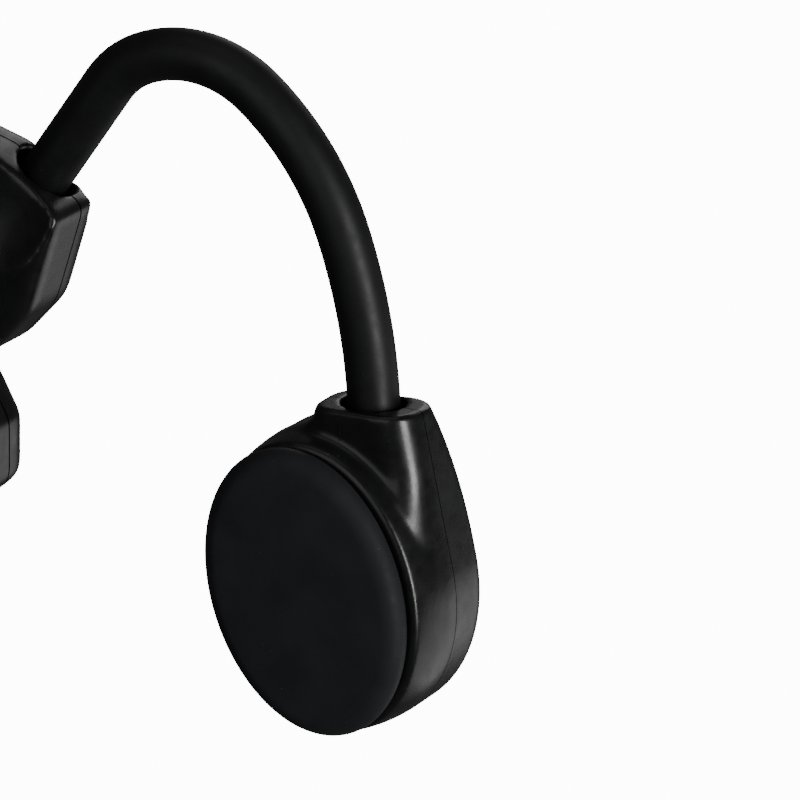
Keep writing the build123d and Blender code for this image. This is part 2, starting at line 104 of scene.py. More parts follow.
# ---------------------------------------------------------------- modelling helpers
def clear_selection():
    bpy.ops.object.select_all(action="DESELECT")


def only(obj):
    clear_selection()
    obj.select_set(True)
    bpy.context.view_layer.objects.active = obj
    return obj


def newest(name):
    obj = bpy.context.object
    obj.name = obj.data.name = name
    return obj


def edit(obj, select="SELECT"):
    only(obj)
    bpy.ops.object.mode_set(mode="EDIT")
    bpy.ops.mesh.select_mode(type="VERT")
    bpy.ops.mesh.select_all(action=select)


def done():
    bpy.ops.object.mode_set(mode="OBJECT")


def select_where(obj, test, kind="VERT"):
    """Selects the vertices, edges or faces of the piece in edit mode whose middle passes the test."""
    bpy.ops.mesh.select_mode(type=kind)
    bpy.ops.mesh.select_all(action="DESELECT")
    mesh = bmesh.from_edit_mesh(obj.data)
    for item in {"VERT": mesh.verts, "EDGE": mesh.edges, "FACE": mesh.faces}[kind]:
        middle = item.co if kind == "VERT" else sum((v.co for v in item.verts), Vector()) / len(item.verts)
        if test(middle / MM):
            item.select = True
    mesh.select_flush_mode()
    bmesh.update_edit_mesh(obj.data)


def modify(obj, kind, **values):
    only(obj)
    modifier = obj.modifiers.new(kind.lower(), kind)
    for key, value in values.items():
        setattr(modifier, key, value)
    bpy.ops.object.modifier_apply(modifier=modifier.name)
    return obj


def join_solids(obj, other, operation="UNION"):
    modify(obj, "BOOLEAN", object=other, operation=operation, solver="EXACT")
    bpy.data.objects.remove(other)
    return obj


def join_pieces(obj, other):
    """Lays one closed form into another, for the softening to melt together."""
    clear_selection()
    other.select_set(True)
    obj.select_set(True)
    bpy.context.view_layer.objects.active = obj
    bpy.ops.object.join()
    return obj


def cut(obj, other):
    return join_solids(obj, other, "DIFFERENCE")


def copy_of(obj, name):
    twin = obj.copy()
    twin.data = obj.data.copy()
    twin.name = twin.data.name = name
    bpy.context.scene.collection.objects.link(twin)
    return twin


def outline_solid(name, outline, low_x, high_x):
    """A plate whose side view is the outline, from low_x to high_x: a disc reshaped and extruded."""
    bpy.ops.mesh.primitive_circle_add(vertices=len(outline), radius=MM, fill_type="NGON")
    plate = newest(name)
    for vertex, (y, z) in zip(plate.data.vertices, outline):
        vertex.co = Vector((low_x, y, z)) * MM
    edit(plate)
    bpy.ops.mesh.extrude_region_move(TRANSFORM_OT_translate={"value": ((high_x - low_x) * MM, 0, 0)})
    bpy.ops.mesh.select_all(action="SELECT")
    bpy.ops.mesh.normals_make_consistent(inside=False)
    done()
    return plate


def oval_points(grow, count=96, start=0.0, end=360.0, closed=True):
    """Points of the pad's oval grown outward, turning from its top toward the rear."""
    steps = count if closed else count - 1
    points = []
    for i in range(count):
        turn = math.radians(start + (end - start) * i / steps)
        along, across = (PAD_LONG + grow) * math.cos(turn), (PAD_SHORT + grow) * math.sin(turn)
        points.append((along * math.sin(PAD_LEAN) + across * math.cos(PAD_LEAN),
                       along * math.cos(PAD_LEAN) - across * math.sin(PAD_LEAN)))
    return points


def rod(name, start, way, radius, length, sides=64):
    """A straight round bar, for cutting holes."""
    way = Vector(way).normalized()
    middle = (Vector(start) + way * length / 2) * MM
    bpy.ops.mesh.primitive_cylinder_add(vertices=sides, radius=radius * MM, depth=length * MM, location=middle,
                                        rotation=Vector((0, 0, 1)).rotation_difference(way).to_euler())
    bar = newest(name)
    bpy.ops.object.transform_apply(location=True, rotation=True, scale=True)
    return bar


def soften(obj, voxel, rounds):
    """Melts the edges of a solid into moulded radii."""
    modify(obj, "REMESH", mode="VOXEL", voxel_size=voxel * MM, adaptivity=0.0)
    modify(obj, "SMOOTH", factor=0.5, iterations=rounds)
    return obj


def smooth(obj, degrees=35):
    only(obj)
    bpy.ops.object.shade_smooth_by_angle(angle=math.radians(degrees))
    return obj


def rounded_outline(corners, spacing=0.7):
    """Points round a closed outline of ((y, z), radius) corners, each corner an arc of its radius."""
    points = []
    for i, (corner, radius) in enumerate(corners):
        here = Vector(corner)
        back = (Vector(corners[i - 1][0]) - here).normalized()
        on = (Vector(corners[(i + 1) % len(corners)][0]) - here).normalized()
        half = back.angle(on) / 2
        reach = radius / math.tan(half)
        centre = here + (back + on).normalized() * (radius / math.sin(half))
        first, last = here + back * reach - centre, here + on * reach - centre
        swing = first.angle_signed(last)
        count = max(3, int(abs(swing) * radius / spacing) + 2)
        for k in range(count):
            spoke = first.copy()
            spoke.rotate(Matrix.Rotation(-swing * k / (count - 1), 2))
            points.append(tuple(centre + spoke))
    return points


def shrunk(points, amount):
    """An outline drawn in by the same amount all round."""
    result = []
    for i, point in enumerate(points):
        before, after = Vector(points[i - 1]), Vector(points[(i + 1) % len(points)])
        along = (after - before).normalized()
        result.append((point[0] - along.y * amount, point[1] + along.x * amount))
    return result


def turning_left(points):
    """The outline in the order that keeps its inside on the left."""
    area = sum(points[i - 1][0] * points[i][1] - points[i][0] * points[i - 1][1] for i in range(len(points)))
    return points if area > 0 else points[::-1]


def oval_rings(name, profile, count=128):
    """A solid of stacked ovals: the first is filled, each next is extruded from it, and the last one stays filled.

    Each ring is (x, growth of the long half, growth of the short half, slide toward the rear)."""
    lean_y, lean_z = math.sin(PAD_LEAN), math.cos(PAD_LEAN)
    bpy.ops.mesh.primitive_circle_add(vertices=count, radius=MM, fill_type="NGON")
    solid = newest(name)
    for i, vertex in enumerate(solid.data.vertices):
        vertex.co = Vector((0, math.cos(math.tau * i / count), math.sin(math.tau * i / count)))
    edit(solid)
    for step, (x, longer, wider, slide) in enumerate(profile):
        if step:
            bpy.ops.mesh.extrude_region_move()
            _, old_longer, old_wider, old_slide = profile[step - 1]
        mesh = bmesh.from_edit_mesh(solid.data)
        for vertex in mesh.verts:
            if vertex.select:
                turn = vertex.co
                if step:
                    along = turn.y / MM * lean_y + turn.z / MM * lean_z
                    across = turn.y / MM * lean_z - turn.z / MM * lean_y
                    turn = Vector((0, along / (PAD_LONG + old_longer),
                                   (across - old_slide) / (PAD_SHORT + old_wider)))
                along, across = (PAD_LONG + longer) * turn.y, (PAD_SHORT + wider) * turn.z + slide
                vertex.co = Vector((x, along * lean_y + across * lean_z, along * lean_z - across * lean_y)) * MM
        bmesh.update_edit_mesh(solid.data)
    bpy.ops.mesh.select_all(action="SELECT")
    bpy.ops.mesh.normals_make_consistent(inside=False)
    done()
    return solid


def bevel_edges(obj, test, radius, segments=6):
    """Rounds the edges whose middle passes the test."""
    edit(obj)
    select_where(obj, test, "EDGE")
    bpy.ops.mesh.bevel(offset=radius * MM, segments=segments, profile=0.5, affect="EDGES", clamp_overlap=False)
    done()
    return obj


SPIN_WAY = -1.0         # the spin operator turns the other way from a rotation matrix


def bent_tube(name, start, way, turn_axis, runs, radius, sides, wall=0.0, pitch=0.7):
    """A tube drawn out of a ring: straight runs by extrude, round ones by spin, then its wall or its end caps.

    runs holds ("straight", length) and ("round", radius, degrees), in millimetres."""
    way, turn_axis = Vector(way).normalized(), Vector(turn_axis).normalized()
    place = Vector(start)
    bpy.ops.mesh.primitive_circle_add(vertices=sides, radius=radius * MM, fill_type="NOTHING", location=place * MM,
                                      rotation=Vector((0, 0, 1)).rotation_difference(way).to_euler())
    tube = newest(name)
    bpy.ops.object.transform_apply(location=True, rotation=True, scale=True)
    edit(tube)
    for run in runs:
        if run[0] == "straight":
            count = max(1, round(run[1] / pitch / 1.6))
            for _ in range(count):
                bpy.ops.mesh.extrude_region_move(
                    TRANSFORM_OT_translate={"value": way * (run[1] / count * MM), "orient_type": "GLOBAL"})
            place = place + way * run[1]
        else:
            inward = turn_axis.cross(way)
            centre = place + inward * run[1]
            angle = math.radians(run[2])
            bpy.ops.mesh.spin(steps=max(4, round(run[1] * angle / pitch)), angle=SPIN_WAY * angle,
                              center=centre * MM, axis=turn_axis)
            turned = Matrix.Rotation(angle, 3, turn_axis)
            place, way = centre + turned @ (place - centre), turned @ way
    bpy.ops.mesh.select_all(action="SELECT")
    bpy.ops.mesh.remove_doubles(threshold=0.00001)
    if wall:
        bpy.ops.mesh.normals_make_consistent(inside=False)
        done()
        low = sum((f.normal.dot(f.center - Vector(start) * MM) for f in tube.data.polygons[:sides]))
        if low < 0:
            edit(tube)
            bpy.ops.mesh.flip_normals()
            done()
        modify(tube, "SOLIDIFY", thickness=wall * MM, offset=-1.0, use_rim=True)
    else:
        bpy.ops.mesh.select_all(action="DESELECT")
        bpy.ops.mesh.select_non_manifold()
        bpy.ops.mesh.fill()
        bpy.ops.mesh.select_all(action="SELECT")
        bpy.ops.mesh.normals_make_consistent(inside=False)
        done()
    return tube


def settle(obj, matrix):
    """Turns a piece modelled in the side's own frame into its place."""
    obj.data.transform(matrix)
    if matrix.determinant() < 0:
        edit(obj)
        bpy.ops.mesh.remove_doubles(threshold=0.000001)
        bpy.ops.mesh.select_all(action="SELECT")
        bpy.ops.mesh.normals_make_consistent(inside=False)
        done()
    return obj


def block(name, low, high):
    """A plain block between two corners, for sawing."""
    low, high = Vector(low), Vector(high)
    bpy.ops.mesh.primitive_cube_add(size=1, location=(low + high) / 2 * MM, scale=(high - low) * MM)
    solid = newest(name)
    bpy.ops.object.transform_apply(location=True, rotation=True, scale=True)
    return solid


def part_shells(body, inner_name, outer_name, seam, gap):
    """Saws a hollow body in two along its seam, and leaves the hairline between the halves."""
    # the blocks only have to reach past the body on every side but the seam's
    outer = copy_of(body, outer_name)
    body.name = body.data.name = inner_name
    cut(body, block("outer_half", (seam - gap / 2, -25, -35), (40, 65, 55)))
    cut(outer, block("inner_half", (-20, -25, -35), (seam + gap / 2, 65, 55)))
    return body, outer


VOXEL = 0.2

# ---------------------------------------------------------------- earphone casing
CASE_HAIRLINE = 0.1
CASE_FRONT_ROUND, CASE_REAR_ROUND, CASE_OUTER_ROUND = 3.0, 1.6, 2.4
NECK_SLICES = (-1, 1, 3, 4, 5, 6, 7, 8, 9, 10, 11, 12, 13, 14.6, 16, 18)
NECK_FLARE, NECK_FLARE_TOP, NECK_FLARE_HEIGHT = 1.3, 10.6, 6.0
NECK_REAR_CURVE = ((1.84, 14.9), (2.0, 14.3), (2.35, 13.75), (2.95, 13.25), (3.75, 12.85), (4.7, 12.4),
                   (5.6, 11.85))
SOCKET, SOCKET_DEPTH = 2.8, 12          # a loose fit for the hook, wider than its tube all round
EDGE_LIP, EDGE_LONG, EDGE_SHORT, EDGE_SLIDE, EDGE_DRAFT = 0.3, -0.5, -0.8, 0.32, 5.0
WINDOW = -2.4                           # growth of the oval that the drive plate moves in
NECK_LEAN_WAY = Vector((0, math.sin(HOOK_HEADING), math.cos(HOOK_HEADING)))
NECK_BOTTOM = Vector((HOOK_X, *HOOK_START)) - NECK_LEAN_WAY * HOOK_SUNK


def neck_outline():
    """Side view of the casing: the oval's lower sweep, and the neck standing on it."""
    front = (NECK_FRONT, NECK_TOP)
    a, b = PAD_LONG + CASE_GROW, PAD_SHORT + CASE_GROW
    along = front[0] * math.sin(PAD_LEAN) + front[1] * math.cos(PAD_LEAN)
    across = front[0] * math.cos(PAD_LEAN) - front[1] * math.sin(PAD_LEAN)
    touch = math.atan2(across / b, along / a) - math.acos(1 / math.hypot(along / a, across / b))
    lower = oval_points(CASE_GROW, 90, 42.0, math.degrees(touch) + 360, closed=False)
    slope = (Vector(front) - Vector(lower[-1])).normalized()
    rise = [tuple(Vector(lower[-1]) + slope * s) for s in (2, 4, 6, 8, 10, 12, 14, 17, 20)]
    rear = [(NECK_REAR, rise[-1][1]), (NECK_REAR, 17.5), (NECK_REAR, 15.6), *NECK_REAR_CURVE]
    return lower + rise + rear


def eased(t):
    """Smooth step from 0 to 1."""
    t = min(max(t, 0.0), 1.0)
    return t * t * (3 - 2 * t)


def bulge_drop(z):
    """How far the outer face falls back at a height, in one arc from the oval up to the neck's top."""
    if z < BULGE_TOP:
        return 0.0
    fall, rise = CASE_OUT - NECK_OUT, NECK_TOP - BULGE_TOP
    radius = (rise * rise + fall * fall) / (2 * fall)
    return radius - math.sqrt(max(radius * radius - (z - BULGE_TOP) ** 2, 0.0))


def pod_body(name):
    """Hollow casing of one earphone, before it is parted."""
    points = turning_left(neck_outline())
    body = outline_solid(name, points, NECK_IN, CASE_OUT)
    edit(body)
    for z in NECK_SLICES:
        bpy.ops.mesh.select_all(action="SELECT")
        bpy.ops.mesh.bisect(plane_co=(0, 0, z * MM), plane_no=(0, 0, 1))
    done()
    bevel_edges(body, lambda p: abs(p.x - NECK_IN) < 0.01 and (p.y < -4 or p.z < -2), CASE_FRONT_ROUND, 8)
    bevel_edges(body, lambda p: abs(p.x - NECK_IN) < 0.01 and p.z > 12.4 and p.y > 1, CASE_REAR_ROUND, 5)
    bevel_edges(body, lambda p: p.x > CASE_OUT - 0.01 and not inside_outline(p, points), CASE_OUTER_ROUND, 7)
    edit(body)
    mesh = bmesh.from_edit_mesh(body.data)
    for vertex in mesh.verts:
        if vertex.co.x > (CASE_OUT - 2.6) * MM:
            vertex.co.x -= bulge_drop(vertex.co.z / MM) * MM
        elif vertex.co.x < CASE_SEAM * MM:
            # low down, the neck's inner face rises to the bezel and its rounded edge runs out into it
            near = (CASE_SEAM - vertex.co.x / MM) / (CASE_SEAM - NECK_IN)
            vertex.co.x -= NECK_FLARE * eased((NECK_FLARE_TOP - vertex.co.z / MM) / NECK_FLARE_HEIGHT) * near * MM
    bmesh.update_edit_mesh(body.data)
    done()
    cut(body, block("above_neck", (-5, -25, NECK_TOP), (25, 25, 30)))
    # the bezel's wall has a fine edge and then a long draft, more of it at the front than behind the pad
    rings = []
    for degrees in (90, 60, 30, 0):
        drawn = EDGE_LIP * (1 - math.cos(math.radians(degrees)))
        rings.append((EDGE_LIP - EDGE_LIP * math.sin(math.radians(degrees)), EDGE_LONG - drawn, EDGE_SHORT - drawn,
                      EDGE_SLIDE))
    for k in (0.1, 0.2, 0.35, 0.5, 0.7, 1.0):
        left = (1 - k) ** 2
        rings.append((EDGE_LIP + EDGE_DRAFT * k, EDGE_LONG * left, EDGE_SHORT * left, EDGE_SLIDE * left))
    profile = [(x, CASE_GROW + longer, CASE_GROW + wider, slide) for x, longer, wider, slide in rings]
    join_pieces(body, oval_rings("bezel_boss", profile + [(6.5, CASE_GROW - 1.5, CASE_GROW - 1.5, 0)]))
    soften(body, VOXEL, 3)
    cut(body, rod("socket", NECK_BOTTOM, NECK_LEAN_WAY, SOCKET, SOCKET_DEPTH))
    cut(body, rod("plug_bore", NECK_BOTTOM - NECK_LEAN_WAY * 4, NECK_LEAN_WAY, TUBE_PLUG, 5))
    # hollow for the transducer, and the window that its plate moves in
    hollow = oval_rings("hollow", [(1.6, -0.7, -0.7, 0), (CASE_OUT - CASE_WALL, -1.6, -1.6, 0)])
    cut(hollow, block("solid_neck", (-5, -25, 6.8), (25, 25, 30)))
    hollow = join_solids(hollow, oval_rings("boss_hollow", [(CASE_WALL, -0.8, -0.8, 0), (2.95, -0.8, -0.8, 0)]))
    cut(body, hollow)
    cut(body, oval_rings("window", [(-1.0, WINDOW, WINDOW, 0), (1.9, WINDOW, WINDOW, 0)]))
    return soften(body, VOXEL, 8)


def inside_outline(p, points):
    """True away from the outline, for telling the rim from the lines that cross the face."""
    return min(math.hypot(p.y - y, p.z - z) for y, z in points) > 1.2


def moulding_mark(body):
    """A fine raised line low on the neck, where the two halves of its mould met."""
    return join_solids(body, block("moulding_mark", (1.94, -1.19, 12.0), (2.6, -1.09, 14.0)))


BUTTON_Y, BUTTON_Z, BUTTON_R, BUTTON_CLEARANCE = 0.2, -3.0, 3.9, 0.25
MIC_Y, MIC_Z, MIC_R = -5.4, -7.4, 0.5


def make_pod(side):
    body = pod_body("pod_casing")
    inner, outer = part_shells(body, side + "_earphone_inner_shell", side + "_earphone_outer_shell", CASE_SEAM,
                               CASE_HAIRLINE)
    moulding_mark(inner)
    cut(outer, rod("mic_hole", (9, MIC_Y, MIC_Z), OUTWARD, MIC_R, 6, 32))
    if side == "left":
        cut(outer, rod("button_hole", (9, BUTTON_Y, BUTTON_Z), OUTWARD, BUTTON_R + BUTTON_CLEARANCE, 6, 96))
    return inner, outer


# ---------------------------------------------------------------- ear pad
def ear_pad(name):
    """Moulded silicone pad: a stem through the window, a lip over the bezel, a soft rim, a slightly full face."""
    face, rim, stem = -PAD_THICK, 1.7, -2.5
    edge_long, edge_short = -0.02, -0.5
    profile = [(1.9, stem, stem, 0), (-PAD_GAP, stem, stem, 0),
               (-PAD_GAP, edge_long - 0.3, edge_short - 0.3, PAD_SLIDE),
               (-PAD_GAP - 0.06, edge_long - 0.1, edge_short - 0.1, PAD_SLIDE)]
    for turn in (0, 9, 18, 27, 36, 45, 54, 63, 72, 80, 87):
        sine, cosine = math.sin(math.radians(turn)), math.cos(math.radians(turn))
        drawn = rim * (1 - cosine)
        profile.append((face + rim - 0.14 - (rim - 0.28) * sine, edge_long - drawn, edge_short - drawn, PAD_SLIDE))
    for drawn, x in ((2.3, 0.11), (3.2, 0.08), (4.4, 0.05), (5.8, 0.025), (7.4, 0.008)):
        profile.append((face + x, edge_long - drawn, edge_short - drawn, PAD_SLIDE))
    return oval_rings(name, profile, 192)


# ---------------------------------------------------------------- behind-ear housing
HOUSING_IN, HOUSING_OUT, HOUSING_SEAM, HOUSING_WALL = -0.3, 9.4, 5.0, 1.2
HOUSING_HAIRLINE = 0.2
HOUSING_INNER_ROUND, HOUSING_OUTER_ROUND, HOLLOW_ROUND = 1.5, 3.4, 2.2
HOUSING_CORNERS = [((25.0, 28.7), 1.0), ((27.8, 20.0), 4.5), ((31.6, 16.0), 3.5), ((36.6, 14.3), 1.8),
                   ((34.6, 12.0), 1.6), ((32.7, 8.4), 1.6), ((32.8, 3.0), 1.6), ((35.2, 1.0), 1.6),
                   ((45.0, 0.6), 1.8), ((46.2, 4.2), 1.6), ((48.6, 13.2), 6.0), ((48.4, 20.0), 8.0),
                   ((45.6, 30.0), 6.0), ((39.0, 35.8), 4.0), ((31.4, 33.4), 1.6)]
TAIL_TURN = math.radians(144.5)
TAIL_WAY = Vector((0, math.sin(TAIL_TURN), math.cos(TAIL_TURN)))
COLLAR = Vector((HOOK_X, 28.69, 31.32))
BAND_PITCH = math.radians(19.9)
BAND_WAY = Vector((0, math.cos(BAND_PITCH), -math.sin(BAND_PITCH)))
BAND_MOUTH = Vector((4.5, 47.4, 8.7))
COLLAR_HOLE, COLLAR_ASIDE = 2.95, Vector((-0.2, 0, 0))
BOSS = 3.6                              # solid left round each tube's end
SCREWS, SCREW_POST, SCREW_SEAT = ((43.5, 3.4), (42.0, 30.5), (33.2, 19.2)), 1.6, 1.4
KEYS, KEY_HOLE = ((38.8, 25.4), (38.8, 19.2)), 2.22
LIGHT_PLACE, LIGHT_HOLE = (43.0, 22.3), 0.83
PORT, PORT_SEAT, PORT_HOLE = (36.8, 7.0), (11.6, 5.6, 2.55), (9.24, 3.56, 6)    # long, wide, deep
SCOOP_HALVES, SCOOP_MIDDLE = (6.0, 8.5, 13.0), Vector((-4.75, 28.2, 31.6))


def long_hole(name, x, y, z, long, wide, depth):
    """A bar with round ends, standing along z, for the port's opening."""
    bar = rod(name, (x, y, z - (long - wide) / 2), (1, 0, 0), wide / 2, depth, 48)
    edit(bar)
    select_where(bar, lambda p: p.z > z - (long - wide) / 2 + 0.001)
    bpy.ops.transform.translate(value=(0, 0, (long - wide) * MM))
    done()
    return bar


def collar_scoop(grow):
    """Long hollow in the inner face under the collar."""
    bpy.ops.mesh.primitive_uv_sphere_add(segments=64, ring_count=32, radius=MM)
    scoop = newest("scoop")
    turn = Matrix.Rotation(-TAIL_TURN, 3, "X")
    for vertex in scoop.data.vertices:
        p = vertex.co / MM
        stretched = Vector([part * (half + grow) for part, half in zip(p, SCOOP_HALVES)])
        vertex.co = (turn @ stretched + SCOOP_MIDDLE) * MM
    return scoop


def housing_body(name):
    points = turning_left(rounded_outline(HOUSING_CORNERS))
    body = outline_solid(name, points, HOUSING_IN, HOUSING_OUT)
    bevel_edges(body, lambda p: p.x < HOUSING_IN + 0.01, HOUSING_INNER_ROUND, 6)
    bevel_edges(body, lambda p: p.x > HOUSING_OUT - 0.01, HOUSING_OUTER_ROUND, 10)
    soften(body, VOXEL, 3)
    # the inner face is scooped out under the collar, so that its ring stands nearly even round the tube
    cut(body, collar_scoop(0.0))
    cut(body, rod("collar_hole", COLLAR + COLLAR_ASIDE + TAIL_WAY * COLLAR_DEPTH, -TAIL_WAY, COLLAR_HOLE, 9))
    cut(body, rod("band_hole", BAND_MOUTH - BAND_WAY * 4, BAND_WAY, BAND_RECESS, 9))
    hollow = outline_solid("hollow", shrunk(points, HOUSING_WALL), HOUSING_IN + HOUSING_WALL,
                           HOUSING_OUT - HOUSING_WALL)
    bevel_edges(hollow, lambda p: p.x > HOUSING_OUT - HOUSING_WALL - 0.01, HOLLOW_ROUND, 4)
    soften(hollow, 0.3, 1)
    cut(hollow, collar_scoop(HOUSING_WALL))
    for start, way in ((COLLAR + TAIL_WAY * 8.5, -TAIL_WAY), (BAND_MOUTH - BAND_WAY * 8.2, BAND_WAY)):
        cut(hollow, rod("tube_boss", start, way, BOSS, 14))
    for y, z in SCREWS:
        cut(hollow, rod("post", (-2, y, z), OUTWARD, SCREW_POST, 14, 32))
    join_solids(hollow, rod("collar_plug", COLLAR + TAIL_WAY * 12, -TAIL_WAY, TUBE_PLUG, 9))
    join_solids(hollow, rod("band_plug", BAND_MOUTH - BAND_WAY * 12, BAND_WAY, BAND_PLUG, 9))
    cut(body, hollow)
    for y, z in SCREWS:
        cut(body, rod("screw_seat", (-3, y, z), OUTWARD, SCREW_SEAT, 3.8, 48))
    return soften(body, VOXEL * 1.1, 22)


def make_housing(side):
    body = housing_body("housing")
    inner, outer = part_shells(body, side + "_housing_inner_cover", side + "_housing_outer_cover", HOUSING_SEAM,
                               HOUSING_HAIRLINE)
    if side == "right":
        cut(inner, long_hole("cover_seat", -2, *PORT, *PORT_SEAT))
        cut(inner, long_hole("port_hole", -2, *PORT, *PORT_HOLE))
        for y, z in KEYS:
            cut(outer, rod("key_hole", (6.5, y, z), OUTWARD, KEY_HOLE, 5, 64))
        cut(outer, rod("light_hole", (6.5, *LIGHT_PLACE), OUTWARD, LIGHT_HOLE, 5, 48))
    return inner, outer


# ---------------------------------------------------------------- ear hook and neckband
def hook_tube(name, aside, forward, radius, sides, wall=0.0, extra=0.0):
    """A tube along the hook's line, aside from it in depth and ahead of it within its plane."""
    start = NECK_BOTTOM + Vector((aside, 0, 0)) - NECK_LEAN_WAY * extra
    start += Vector((0, math.cos(HOOK_HEADING), -math.sin(HOOK_HEADING))) * forward
    runs = [("straight", HOOK_SUNK + extra)]
    runs += [("round", bend - forward, turn) for bend, turn in HOOK_ARCS]
    runs += [("straight", HOOK_TAIL + extra)]
    return bent_tube(name, start, NECK_LEAN_WAY, (-1, 0, 0), runs, radius, sides, wall)


def band_tube(name, aside, up, radius, sides, wall=0.0, extra=0.0):
    """The left half of a tube along the neckband's line, from its socket to the middle of the headset."""
    turn = LEFT.to_3x3()
    mouth = LEFT @ (BAND_MOUTH * MM) / MM
    way = (turn @ BAND_WAY).normalized()
    level = Vector((0, way.y, way.z)).normalized()
    up_way = Vector((1, 0, 0)).cross(level)
    first = math.atan2(way.x, way.dot(level))
    inward = -(Vector((1, 0, 0)) * math.cos(first) - level * math.sin(first))
    side_radius, last, clear = 44.0, math.radians(60), 3.0
    shift = clear * way.x + side_radius * (math.cos(last) - math.cos(first))
    rear_radius = (mouth.x + shift) / math.cos(last)
    start = mouth - way * (BAND_SUNK + extra) + inward * aside + up_way * up
    runs = [("straight", BAND_SUNK + extra + clear), ("round", side_radius - aside, math.degrees(first + last)),
            ("round", rear_radius - aside, 30.0)]
    return bent_tube(name, start, way, up_way, runs, radius, sides, wall, pitch=1.1)


# ---------------------------------------------------------------- finishes
def finish_of(name, colour, roughness, metallic=0.0, specular=0.5, spread=0.05, grain=0.1, bump=0.15, depth=0.01,
              tint=None, dust=0.0, wear=0.0, scratches=0.0, transmission=0.0, sheen=0.0):
    """A finish with its own mottling, fine grain, dust and edge wear. grain and depth are in millimetres."""
    material = bpy.data.materials.new(name)
    material.use_nodes = True
    nodes, links = material.node_tree.nodes, material.node_tree.links
    shader = nodes["Principled BSDF"]
    shader.inputs["Metallic"].default_value = metallic
    shader.inputs["Specular IOR Level"].default_value = specular
    shader.inputs["Transmission Weight"].default_value = transmission
    shader.inputs["Sheen Weight"].default_value = sheen
    shader.inputs["Sheen Roughness"].default_value = 0.6
    place = nodes.new("ShaderNodeTexCoord")

    def noise(scale_mm, detail, stretch=None):
        texture = nodes.new("ShaderNodeTexNoise")
        texture.inputs["Scale"].default_value = 1000.0 / scale_mm
        texture.inputs["Detail"].default_value = detail
        source = place.outputs["Object"]
        if stretch:
            mapping = nodes.new("ShaderNodeMapping")
            mapping.inputs["Scale"].default_value = stretch
            links.new(source, mapping.inputs["Vector"])
            source = mapping.outputs["Vector"]
        links.new(source, texture.inputs["Vector"])
        return texture.outputs["Fac"]

    def ranged(source, low, high, out_low, out_high):
        node = nodes.new("ShaderNodeMapRange")
        for socket, value in zip(("From Min", "From Max", "To Min", "To Max"), (low, high, out_low, out_high)):
            node.inputs[socket].default_value = value
        links.new(source, node.inputs["Value"])
        return node.outputs["Result"]

    def mixed(fac, first, second):
        node = nodes.new("ShaderNodeMix")
        node.data_type = "RGBA"
        links.new(fac, node.inputs[0])
        for value, socket in ((first, node.inputs[6]), (second, node.inputs[7])):
            if isinstance(value, bpy.types.NodeSocket):
                links.new(value, socket)
            else:
                socket.default_value = (*value, 1.0)
        return node.outputs[2]

    tint = tint or tuple(c * 1.35 for c in colour)
    cloud = noise(4.0, 4.0)
    body = mixed(ranged(cloud, 0.35, 0.65, 0.0, 1.0), colour, tint)
    if dust:
        speck = nodes.new("ShaderNodeTexVoronoi")
        speck.inputs["Scale"].default_value = 1000.0 / 0.9
        links.new(place.outputs["Object"], speck.inputs["Vector"])
        near = ranged(speck.outputs["Distance"], 0.03, 0.07, 1.0, 0.0)
        patch = nodes.new("ShaderNodeMath")
        patch.operation = "MULTIPLY"
        links.new(near, patch.inputs[0])
        links.new(ranged(noise(1.7, 2.0), 0.52, 0.66, 0.0, dust), patch.inputs[1])
        body = mixed(patch.outputs[0], body, (0.22, 0.22, 0.23))
    rough = ranged(noise(1.3, 5.0), 0.3, 0.7, roughness - spread, roughness + spread)
    if wear:
        edge = nodes.new("ShaderNodeNewGeometry")
        rubbed = ranged(edge.outputs["Pointiness"], 0.57, 0.68, 0.0, wear)
        body = mixed(rubbed, body, tuple(min(1.0, c * 3 + 0.01) for c in colour))
        worn = nodes.new("ShaderNodeMath")
        worn.operation = "MULTIPLY_ADD"
        links.new(rubbed, worn.inputs[0])
        worn.inputs[1].default_value = -0.12
        links.new(rough, worn.inputs[2])
        rough = worn.outputs[0]
    links.new(body, shader.inputs["Base Color"])
    links.new(rough, shader.inputs["Roughness"])
    height = noise(grain, 3.0)
    if scratches:
        lines = noise(0.5, 2.0, (1.0, 30.0, 30.0))
        total = nodes.new("ShaderNodeMath")
        total.operation = "MULTIPLY_ADD"
        links.new(lines, total.inputs[0])
        total.inputs[1].default_value = scratches
        links.new(height, total.inputs[2])
        height = total.outputs[0]
    relief = nodes.new("ShaderNodeBump")
    relief.inputs["Strength"].default_value = bump
    relief.inputs["Distance"].default_value = depth * MM
    links.new(height, relief.inputs["Height"])
    links.new(relief.outputs["Normal"], shader.inputs["Normal"])
    return material


